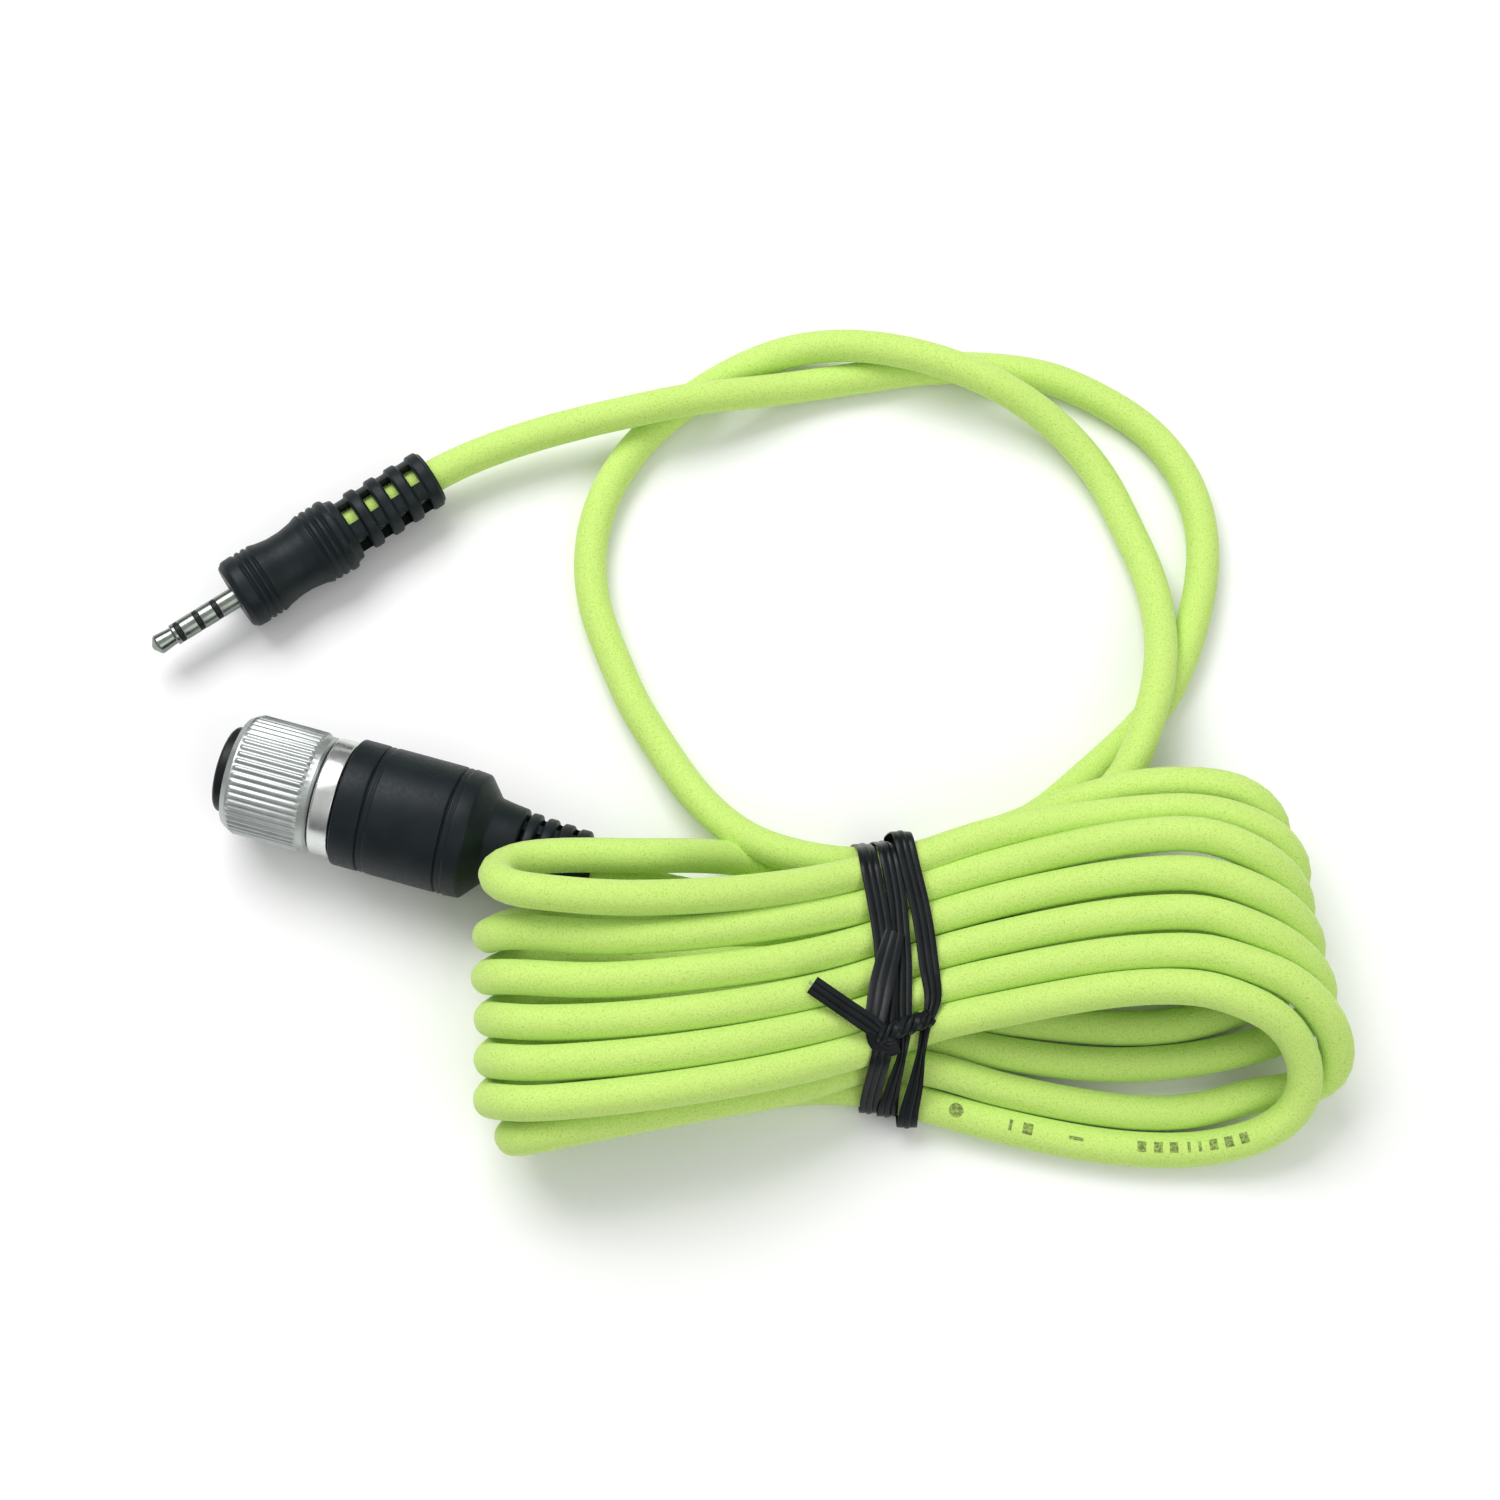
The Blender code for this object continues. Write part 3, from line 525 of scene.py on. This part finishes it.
def cord_route():
    """The whole cord's centreline, from the screw connector to the plug."""
    route = SCREW_LEAD + LOOP_IN + BIG_LOOP + FIRST_RUN + RIGHT_ENDS[0]
    for turn in (2, 4, 6):         # out along the back, round the left end, back on the front
        route += back_run(turn)[::-1] + left_end(turn)[::-1] + front_run(turn)
        route += RIGHT_ENDS[turn]
    route += back_run(7)[::-1] + LOWEST_TURN + RIGHT_ENDS[5][::-1]
    for turn in (5, 3):            # and the other way round for the turns between them
        route += front_run(turn)[::-1] + left_end(turn) + back_run(turn)
        route += RIGHT_ENDS[turn - 2][::-1]
    route += LAST_RUN + TOP_LOOP + LEAD_IN + PLUG_LEAD[::-1]
    line = evened(route, ROUTE_STEP)
    for _ in range(SMOOTHING_PASSES):
        line[1:-1] = (line[:-2] + 2 * line[1:-1] + line[2:]) / 4
    line[:, 2] = np.maximum(line[:, 2], CORD_RADIUS)
    return evened(line, CORD_STEP)


def frames_along(line):
    """Two unit vectors across the line at each point, carried along it without twisting."""
    tangents = np.gradient(line, axis=0)
    tangents /= np.linalg.norm(tangents, axis=1)[:, None]
    side = np.cross(tangents[0], (0, 0, 1.0))
    sides = []
    for tangent in tangents:
        side = side - (side @ tangent) * tangent
        side /= np.linalg.norm(side)
        sides.append(side)
    sides = np.array(sides)
    return tangents, sides, np.cross(sides, tangents)


def tube(line, radius, sides):
    """(points, faces) of a round tube along a line."""
    _, across, up = frames_along(line)
    angles = np.arange(sides) * math.tau / sides
    rings = [[p + radius * (math.cos(a) * s + math.sin(a) * u) for a in angles]
             for p, s, u in zip(line, across, up)]
    return loft(rings)


# The plug

def make_plug(black, insulator, nickel):
    """Every piece of the plug, as finer copies of its nodes."""
    place = Matrix.Translation(PLUG_TIP) @ Matrix.Rotation(PLUG_YAW, 4, "Z")
    seam = 0.05
    first = JACK_SEAMS[0] - JACK_INSULATOR / 2 - seam
    tip = [(0, 0), (0, 0.3), (0.75, 1.45), (1.0, 1.62), (1.3, 1.62), (3.4, 1.42),
           (3.8, 1.42), (3.9, JACK_RADIUS),
           (first, JACK_RADIUS), (first, JACK_ROD), (JACK_END, JACK_ROD), (JACK_END, 0)]
    pieces = [turned("jack_tip", rounded(tip, 0.12), place, nickel, "nickel", 64,
                     replaces=["plug_tip"])]
    starts = [s + JACK_INSULATOR / 2 + seam for s in JACK_SEAMS]
    ends = [s - JACK_INSULATOR / 2 - seam for s in JACK_SEAMS[1:]] + [JACK_END]
    nodes = ["plug_ring_1", "plug_ring_2", "plug_sleeve"]
    for node, start, end in zip(nodes, starts, ends):
        sleeve = [(start, JACK_BORE), (start, JACK_RADIUS), (end, JACK_RADIUS),
                  (end, JACK_BORE)]
        pieces.append(turned("jack_" + node[5:], rounded(sleeve, 0.1), place, nickel, "nickel",
                             64, replaces=[node]))
    for number, s in enumerate(JACK_SEAMS, 1):
        low, high = s - JACK_INSULATOR / 2, s + JACK_INSULATOR / 2
        washer = [(low, JACK_BORE), (low, JACK_RADIUS - 0.04), (high, JACK_RADIUS - 0.04),
                  (high, JACK_BORE)]
        pieces.append(turned(f"jack_insulator_{number}", washer, place, insulator,
                             "insulator_black", 64, replaces=[f"plug_insulator_{number}"]))
    return pieces + [make_plug_moulding(place, black)]


def make_plug_moulding(place, black):
    socket, bore = JACK_RADIUS + GAP, CORD_RADIUS + GAP
    outline = [(PLUG_FRONT, socket), (PLUG_FRONT, 5.2), (PLUG_FRONT + 0.9, 5.95)]
    outline += grooves([18.1, 19.2, 20.3], 6.0)
    outline += [(22.4, 5.6), (24.4, 5.3), (26.6, 5.3), (28.8, 5.65)]
    outline += grooves([30.2, 31.5, 32.8], 6.15)
    outline += [(34.0, 6.25), (34.7, 6.15), (35.0, 5.55), (36.2, 5.3), (PLUG_COLLAR, 4.5)]
    outline += ribs(PLUG_RIBS, (5.1, 4.9), 4.5, 2.1)
    outline += [(PLUG_END, 4.3), (PLUG_END, bore), (PLUG_COLLAR - 0.2, bore),
                (PLUG_COLLAR - 0.2, 1.0), (JACK_END + GAP, 1.0), (JACK_END + GAP, socket)]
    piece = turned("plug_grip", rounded(outline, 0.25), place, black, "moulded_black", 128,
                   replaces=["plug_overmould"])
    gaps = [(PLUG_COLLAR + 0.1, PLUG_RIBS[0] - 1.05)]
    gaps += [(rib + 1.05, following - 1.05) for rib, following in zip(PLUG_RIBS, PLUG_RIBS[1:])]
    cut_round(piece, place, gaps, 4, PLUG_WINDOW_TURN, 1.9, 2.4)
    return piece


def cut_round(piece, place, gaps, sides, start, half_width, depth):
    """Cuts a row of windows in each gap between ribs, the first one start radians from +Z."""
    for number in range(sides):
        facing = place @ Matrix.Rotation(start + math.tau * number / sides, 4, "X")
        cut_boxes(piece, facing, [((low, -half_width, depth), (high, half_width, 8))
                                  for low, high in gaps])


# The screw connector

def make_connector(black, insert_black, nickel, ring_nickel, gold):
    place = Matrix.Translation(SCREW_FACE) @ Matrix.Rotation(SCREW_YAW, 4, "Z")
    make_insert(place, insert_black)
    make_contacts(place, gold)
    shell = [(10.8, 5.3), (10.8, 6.5), (11.2, 6.9), (11.4, 6.9), (11.4, 6.4), (12.2, 6.4),
             (12.2, 6.9), (17.4, 6.9), (17.4, 8.9), (17.7, 9.25), (20.6, 9.25), (20.8, 9.05),
             (20.8, 6.8), (30.0, 6.8), (30.0, 5.3)]
    turned("bright_shell", rounded(shell, 0.15), place, nickel, "nickel", 128,
           replaces=["connector_shell"])
    make_ring(place, ring_nickel)
    body = [(21.1, 7.1), (21.1, 9.8), (21.3, 10.0)]
    for start in (25.2, 37.7):
        body += grooves([start], 10.0, 0.5, 0.5) + [(start + 1.3, 9.8), (start + 1.5, 10.0)]
    body += [(41.5, 9.8), (44.1, 6.8), (46.4, 6.45), (48.7, 6.2), (48.9, 5.3)]
    body += ribs(SCREW_RIBS, (5.9, 5.45), 5.1, 1.9)
    body += [(59.6, 3.9), (SCREW_END, 3.7), (SCREW_END, 2.95), (37.0, 2.95), (37.0, 3.9),
             (30.3, 3.9),
             (30.3, 7.1)]
    piece = turned("connector_grip", rounded(body, 0.3), place, black, "moulded_black", 160,
                   replaces=["connector_overmould"])
    ends = [48.9] + [rib + 0.95 for rib in SCREW_RIBS]
    gaps = [(low, rib - 0.95) for low, rib in zip(ends, SCREW_RIBS)]
    cut_round(piece, place, gaps, SCREW_WINDOWS, 0.0, 1.75, 3.9)


def make_insert(place, insert_black):
    """The contact carrier with its key slot and its contact holes."""
    face = INSERT_FRONT
    outline = [(face, 0), (face, 6.35), (face + 0.4, 6.75), (10.5, 6.75), (10.5, 5.0),
               (17.0, 5.0), (17.0, 0)]
    piece = turned("contact_carrier", rounded(outline, 0.2), place, insert_black,
                   "insert_black", 96, replaces=["contact_insert"])
    cut_boxes(piece, place, [((0, -0.9, -8.0), (8.0, 0.9, -5.6))])
    bm = bmesh.new()
    for offset in contact_offsets():
        centre = Vector((8.5, 0, 0)) + offset
        bmesh.ops.create_cone(bm, cap_ends=True, segments=32, radius1=1.25, radius2=1.25,
                              depth=19, matrix=place @ Matrix.Translation(centre)
                              @ Matrix.Rotation(math.pi / 2, 4, "Y"))
    bmesh.ops.scale(bm, vec=(MM,) * 3, verts=bm.verts)
    bmesh.ops.recalc_face_normals(bm, faces=bm.faces)
    cut_mesh(piece, bm)


def contact_offsets():
    """Where the contacts stand round the axis."""
    angles = [math.tau * (number + 0.5) / CONTACTS for number in range(CONTACTS)]
    return [CONTACT_CIRCLE * Vector((0, math.cos(angle), math.sin(angle))) for angle in angles]


def make_contacts(place, gold):
    """The socket contacts, a little behind the carrier's face."""
    front = INSERT_FRONT + 0.6
    outline = [(front, 0.5), (front, 1.1), (18.0, 1.1), (19.5, 0.8), (20.5, 0.8), (20.5, 0),
               (9.0, 0), (9.0, 0.5)]
    for number, offset in enumerate(contact_offsets(), 1):
        turned(f"contact_{number}", rounded(outline, 0.12), place @ Matrix.Translation(offset),
               gold, "gold", 32, replaces=[f"socket_contact_{number}"])


def make_ring(place, nickel):
    """The knurled ring: straight rounded teeth outside, a thread and a collar inside."""
    crest, root, edge = RING_RADIUS, RING_RADIUS - KNURL_DEPTH, RING_RADIUS - 0.9
    inside = RING_BACK - 2.7
    thread = []
    for turn in range(5):
        x = RING_FRONT + 1.0 + 1.6 * turn
        thread += [(x, 8.1), (x + 0.5, 7.65), (x + 1.0, 8.1)]
    # Each row is (x, radius on a tooth, radius between teeth).
    rows = [(RING_FRONT, 8.1, 8.1), (RING_FRONT, edge, edge), (RING_FRONT + 0.9, root, root),
            (RING_FRONT + 1.1, root, root), (RING_FRONT + 1.3, root + 0.1, root),
            (RING_FRONT + 1.6, crest, root), (RING_BACK - 1.9, crest, root),
            (RING_BACK - 1.6, root + 0.1, root), (RING_BACK - 1.4, root - 0.1, root - 0.1),
            (RING_BACK - 0.4, root - 0.1, root - 0.1), (RING_BACK, edge, edge),
            (RING_BACK, 7.25, 7.25), (inside, 7.25, 7.25), (inside, 8.1, 8.1)]
    rows += [(x, radius, radius) for x, radius in reversed(thread)]
    shares = (0.0, 0.25, 0.8, 1.0, 1.0, 0.8, 0.25, 0.0)     # a tooth's height over its pitch
    rings = []
    for k in range(KNURLS * len(shares)):
        angle = math.tau * k / (KNURLS * len(shares))
        share = shares[k % len(shares)]
        rings.append([place @ Vector((x, (low + (high - low) * share) * math.sin(angle),
                                      (low + (high - low) * share) * math.cos(angle)))
                      for x, high, low in rows])
    points, faces = loft(rings, closed=True)
    mesh_piece("knurled_ring", points, faces, nickel, "nickel", body="coupling_ring", sharp=30,
               replaces=["coupling_ring"])


# The tie and the printing

def hull_of(points):
    """The convex hull of 2-D points, anticlockwise."""
    points = sorted(set(map(tuple, points)))
    sides = []
    for order in (points, points[::-1]):
        side = []
        for p in order:
            while len(side) > 1 and ((side[-1][0] - side[-2][0]) * (p[1] - side[-2][1])
                                     <= (side[-1][1] - side[-2][1]) * (p[0] - side[-2][0])):
                side.pop()
            side.append(p)
        sides += side[:-1]
    return np.array(sides)


def taut_loop(line, low, high):
    """The (Y, Z) loop pulled taut round the hank's runs between two stations along X."""
    near = line[(line[:, 0] > low) & (line[:, 0] < high) & (line[:, 1] < 0)]
    angles = np.linspace(0, math.tau, 48, endpoint=False)
    rim = (CORD_RADIUS + 0.1) * np.stack([np.cos(angles), np.sin(angles)], axis=1)
    hull = hull_of(np.round((near[:, None, 1:] + rim[None]).reshape(-1, 2), 3))
    loop = resampled(np.pad(np.vstack([hull, hull[:1]]), ((0, 0), (0, 1))), 0.7)[:-1, :2]
    for _ in range(4):
        loop = (np.roll(loop, 1, axis=0) + 2 * loop + np.roll(loop, -1, axis=0)) / 4
    return loop


def strip(path, outward, shares, height=1.0, closed=False):
    """(points, faces) of the ribbon along a path, facing outward."""
    if closed:
        tangents = np.roll(path, -1, axis=0) - np.roll(path, 1, axis=0)
    else:
        tangents = np.gradient(path, axis=0)
    tangents /= np.linalg.norm(tangents, axis=1)[:, None]
    across = np.cross(outward, tangents)
    across /= np.linalg.norm(across, axis=1)[:, None]
    up = np.cross(tangents, across)
    rings = [[p + RIBBON_WIDTH * share * u * a + height * (2 - min(share, 1)) * h * n
              for u, h in RIBBON] for p, a, n, share in zip(path, across, up, shares)]
    return loft(rings, closed=closed)


def tie_turn(line, number):
    """One turn of the tie round the hank."""
    ys, xs, shares = np.array(TIE_TURNS[number], float).T
    loop = taut_loop(line, xs.min() - 1.5, xs.max() + 1.5)
    along = np.roll(loop, -1, axis=0) - np.roll(loop, 1, axis=0)
    outward = np.stack([along[:, 1], -along[:, 0]], axis=1)
    outward /= np.linalg.norm(outward, axis=1)[:, None]
    over = outward[:, 1] > 0
    x = np.where(over, np.interp(loop[:, 0], ys, xs),
                 np.interp(loop[:, 0], ys[[0, -1]], xs[[0, -1]]))
    for _ in range(6):
        x = (np.roll(x, 1) + 2 * x + np.roll(x, -1)) / 4
    share = np.where(over, np.interp(loop[:, 0], ys, shares), 1.0)
    loop = loop + outward * number * TURN_LIFT * over[:, None]
    outward = np.pad(outward, ((0, 0), (1, 0)))
    return strip(np.column_stack([x, loop]), outward, share, closed=True)


def loose_strip(table, height=1.0):
    made = evened(table, 0.5)
    return strip(made[:, :3], made[:, 3:6], made[:, 6], height)


def knot_strand(phase):
    """One of the two ends that are wound round each other."""
    start, end = (np.array(p) for p in KNOT_ENDS)
    axis = (end - start) / np.linalg.norm(end - start)
    side = np.cross(axis, (0, 0, 1.0))
    side /= np.linalg.norm(side)
    up = np.cross(side, axis)
    steps = np.linspace(0, 1, 60)
    turn = (math.tau * (KNOT_TURNS * steps + phase))[:, None]
    outward = np.cos(turn) * side + np.sin(turn) * up
    waist = (0.75 + 0.25 * np.sin(math.pi * steps))[:, None]
    path = start + steps[:, None] * (end - start) + KNOT_RADIUS * waist * outward
    return strip(path, outward, 0.95 * waist[:, 0], height=1.6)


def make_tie(line, black, nickel):
    parts = [tie_turn(line, number) for number in range(len(TIE_TURNS))]
    parts += [loose_strip(TIE_FOLD, TIE_FOLD_HEIGHT), loose_strip(TIE_TAIL)]
    parts += [knot_strand(0.0), knot_strand(0.5)]
    points, faces = joined(parts)
    mesh_piece("twist_tie_ribbon", points, faces, black, "tie_black", sharp=50,
               replaces=["twist_tie"])
    end, before = (np.array(TIE_TAIL[i][:3]) for i in (-1, -2))
    out = (end - before) / np.linalg.norm(end - before)
    wire = np.array([end - 2 * out, end + 0.6 * out]) + (0, 0, 0.1)
    mesh_piece("twist_tie_wire", *tube(wire, 0.24, 12), nickel, "nickel")


def joined(parts):
    """Several (points, faces) as one."""
    points, faces = [], []
    for more, over in parts:
        faces += [tuple(i + len(points) for i in face) for face in over]
        points += more
    return points, faces


def make_marks(line, ink):
    """The printing, as thin patches on top of the jacket."""
    tangents, _, _ = frames_along(line)
    run = np.concatenate([[0], np.cumsum(np.linalg.norm(np.diff(line, axis=0), axis=1))])
    parts = []
    for near, marks in MARK_ROWS:
        start = run[np.argmin(np.linalg.norm(line - np.array(near), axis=1))]
        heading = 1 if np.interp(start, run, tangents[:, 0]) > 0 else -1
        for at, length, width in marks:
            parts.append(patch(line, run, tangents, start + heading * at, length, width))
    points, faces = joined(parts)
    mesh_piece("cord_marks", points, faces, ink, "insulator_black", sharp=60)


def patch(line, run, tangents, middle, length, width):
    """One mark: a rectangle, or a round dot where it is as long as wide."""
    rings = []
    for offset in np.linspace(-length / 2, length / 2, 13):
        at = [np.interp(middle + offset, run, column) for column in line.T]
        tangent = np.array([np.interp(middle + offset, run, column) for column in tangents.T])
        across = np.cross(tangent, (0, 0, 1.0))
        across /= np.linalg.norm(across)
        up = np.cross(across, tangent)
        reach = width / 2 / CORD_RADIUS
        if length == width:
            reach *= math.sqrt(max(1 - (2 * offset / length) ** 2, 0.02))
        angles = np.linspace(-reach, reach, 9)
        ring = [at + (CORD_RADIUS + 0.03) * (math.sin(a) * across + math.cos(a) * up)
                for a in angles]
        ring += [at + (CORD_RADIUS - 0.08) * (math.sin(a) * across + math.cos(a) * up)
                 for a in reversed(angles)]
        rings.append(ring)
    return loft(rings)


# The surroundings

def make_camera():
    data = bpy.data.cameras.new("camera")
    data.lens = CAMERA_LENS
    data.sensor_width = 36
    data.clip_start, data.clip_end = 0.01, 10
    camera = bpy.data.objects.new("camera", data)
    bpy.context.scene.collection.objects.link(camera)
    back = Vector((0, -math.cos(CAMERA_ELEVATION), math.sin(CAMERA_ELEVATION)))
    camera.location = CAMERA_TARGET + back * CAMERA_DISTANCE
    camera.rotation_euler = (-back).to_track_quat("-Z", "Y").to_euler()
    bpy.context.scene.camera = camera


def make_light(name, location, size, power, color=(1, 1, 1)):
    data = bpy.data.lights.new(name, "AREA")
    data.shape = "RECTANGLE"
    data.size, data.size_y = size
    data.energy = power
    data.color = color
    light = bpy.data.objects.new(name, data)
    bpy.context.scene.collection.objects.link(light)
    light.location = location
    aim = Vector((0.03, 0, 0)) - Vector(location)
    light.rotation_euler = aim.to_track_quat("-Z", "Y").to_euler()


def make_stage():
    """A pale floor, a soft light overhead and behind, and a pale sky."""
    mesh = bpy.data.meshes.new("floor")
    half = 3.0
    mesh.from_pydata([(-half, -half, 0), (half, -half, 0), (half, half, 0), (-half, half, 0)],
                     [], [(0, 1, 2, 3)])
    floor = bpy.data.objects.new("floor", mesh)
    floor.location = (0, 0, -0.0002)
    bpy.context.scene.collection.objects.link(floor)
    material, tree, shader = new_material("floor_white")
    cloud = noise(tree, 6.0, 2.0)
    tree.links.new(ramp(tree, cloud, [(0.3, (0.92, 0.92, 0.92)), (0.7, (0.95, 0.95, 0.95))]),
                   shader.inputs["Base Color"])
    shader.inputs["Roughness"].default_value = 0.9
    mesh.materials.append(material)

    world = bpy.data.worlds.new("studio")
    world.use_nodes = True
    tree = world.node_tree
    background = tree.nodes["Background"]
    background.inputs["Strength"].default_value = 0.92
    split = tree.nodes.new("ShaderNodeSeparateXYZ")
    tree.links.new(add_node(tree, "ShaderNodeTexCoord").outputs["Generated"], split.inputs[0])
    tree.links.new(ramp(tree, split.outputs["Z"], [(0.0, (0.16, 0.17, 0.17)),
                                                   (0.35, (0.32, 0.33, 0.33)),
                                                   (0.8, (0.75, 0.75, 0.75))]),
                   background.inputs["Color"])
    bpy.context.scene.world = world
    make_light("key", (-0.25, 0.45, 0.75), (0.7, 0.5), 6.0)
    make_light("fill", (0.5, -0.5, 0.6), (0.6, 0.6), 1.6)
    bpy.context.scene.view_settings.view_transform = "Standard"


def main():
    frame_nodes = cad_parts
    make_camera()
    cord_skin = cord_material()
    black = plastic_material("moulded_black", (0.005, 0.009, 0.011), (0.009, 0.015, 0.018), 0.44)
    insert_black = plastic_material("insert_black", (0.006, 0.007, 0.008), (0.010, 0.012, 0.013),
                                    0.38)
    insulator = plastic_material("insulator_black", (0.006, 0.007, 0.007), (0.012, 0.013, 0.013),
                                 0.4)
    nickel = metal_material("nickel", (0.72, 0.74, 0.72), (0.60, 0.62, 0.60), 0.24)
    ring_nickel = metal_material("ring_nickel", (0.50, 0.53, 0.52), (0.41, 0.44, 0.43), 0.42)
    jack_nickel = metal_material("jack_nickel", (0.27, 0.30, 0.27), (0.18, 0.20, 0.18), 0.22)
    gold = metal_material("gold", (0.86, 0.64, 0.26), (0.72, 0.50, 0.20), 0.25)
    tie_black = plastic_material("tie_black", (0.005, 0.007, 0.008), (0.010, 0.013, 0.015), 0.32,
                                 900, 0.00003)

    line = cord_route()
    cord = mesh_piece("cord", *tube(line, CORD_RADIUS, CORD_SIDES), cord_skin, "cord_green",
                      sharp=60, replaces=["cord_connector_lead", "cord_top_loop", "cord_hank",
                                          "cord_big_loop", "cord_plug_lead"])
    plug = make_plug(black, insulator, jack_nickel)
    make_connector(black, insert_black, nickel, ring_nickel, gold)
    make_tie(line, tie_black, nickel)
    make_marks(line, ink_material())
    for node in frame_nodes.values():
        if node.name in ("snap_ring", "crimp_ferrule"):
            give(node, nickel)

    make_stage()


def give(node, material):
    for slot in node.material_slots:
        slot.material = material


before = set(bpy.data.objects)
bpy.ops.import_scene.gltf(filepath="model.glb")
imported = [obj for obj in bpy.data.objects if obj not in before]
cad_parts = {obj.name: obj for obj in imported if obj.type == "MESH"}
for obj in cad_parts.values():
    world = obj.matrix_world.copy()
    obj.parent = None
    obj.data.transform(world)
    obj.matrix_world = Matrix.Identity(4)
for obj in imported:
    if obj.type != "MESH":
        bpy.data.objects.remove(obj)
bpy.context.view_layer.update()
main()
